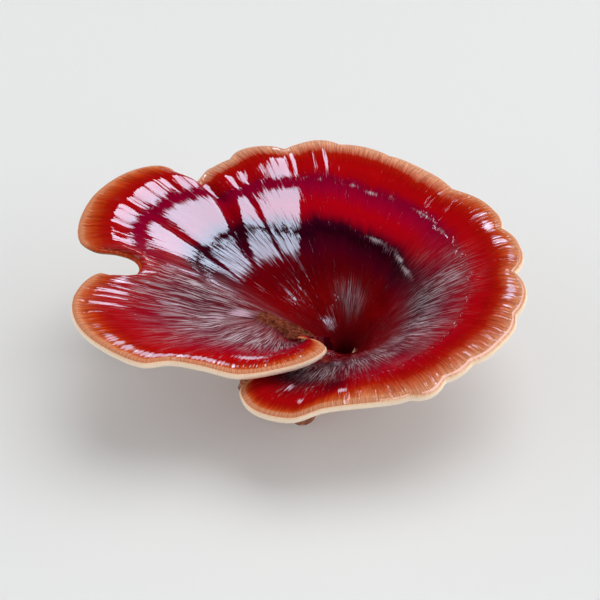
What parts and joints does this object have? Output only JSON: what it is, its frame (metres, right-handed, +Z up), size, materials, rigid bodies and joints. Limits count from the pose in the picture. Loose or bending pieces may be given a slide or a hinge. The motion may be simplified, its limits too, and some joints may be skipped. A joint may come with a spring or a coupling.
{
  "type": "reishi mushroom",
  "caption": "Lacquered bracket mushroom: a spiral funnel cap with a round pale edge, a side bay and an overlapping front flap, on a stout cut stem.",
  "frame": {"origin": "centre of the flat cut foot of the stem", "axes": "+Z up, -Y the front where the flap overlaps the lower lobe, +X to the right seen from the front"},
  "size_m": [0.1569, 0.131, 0.0549],
  "materials": {
    "fruiting_body": "lacquered"
  },
  "bodies": {
    "root": {"fruiting_body": "fruiting_body"}
  },
  "joints": []
}
